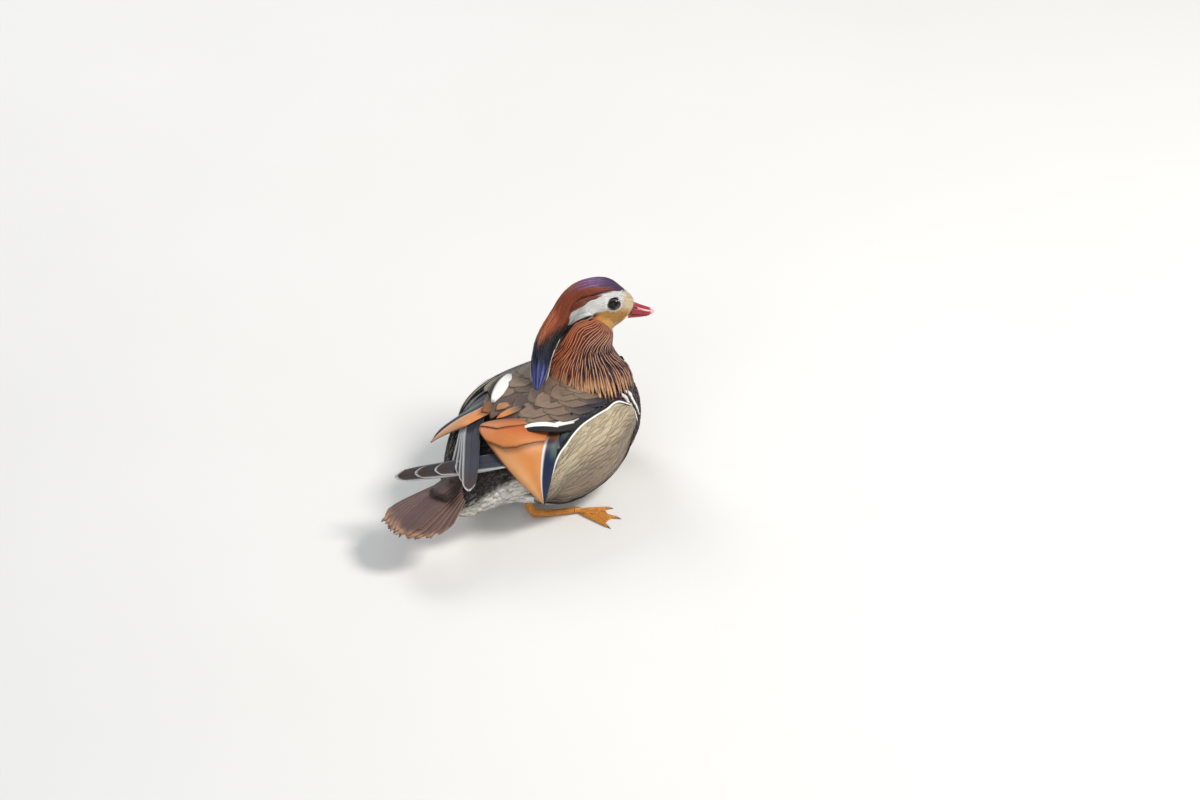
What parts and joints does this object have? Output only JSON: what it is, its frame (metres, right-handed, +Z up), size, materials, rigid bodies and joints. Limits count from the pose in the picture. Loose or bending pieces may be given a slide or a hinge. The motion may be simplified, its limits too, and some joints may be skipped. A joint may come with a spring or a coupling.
{
  "type": "mandarin duck",
  "caption": "Life-size museum-style model of a male mandarin duck settled on its belly, head turned right, with crest, ruff, wing sails, crossed wing tips and fanned tail.",
  "frame": {"origin": "middle of the flat on which the belly rests", "axes": "+X from tail to breast, +Y to the bird's left, +Z up"},
  "size_m": [0.3719, 0.2418, 0.2357],
  "materials": {
    "plumage_body": "matte",
    "plumage_head": "matte",
    "crest": "satin",
    "ruff": "satin",
    "flank": "matte",
    "wing": "matte",
    "sail": "satin",
    "primaries": "matte",
    "tail": "matte",
    "bill": "satin",
    "eye": "gloss",
    "legs": "satin"
  },
  "bodies": {
    "root": {"torso": "plumage_body", "neck": "ruff", "head": "plumage_head", "bill_upper": "bill", "bill_lower": "bill", "crest": "crest", "eye_left": "eye", "eye_right": "eye", "ruff_left": "ruff", "ruff_right": "ruff", "flank_left": "flank", "flank_right": "flank", "wing_left": "wing", "wing_right": "wing", "sail_left": "sail", "sail_right": "sail", "primaries_left": "primaries", "primaries_right": "primaries", "leg_left": "legs", "leg_right": "legs", "foot_left": "legs", "foot_right": "legs", "tail": "tail"}
  },
  "joints": []
}
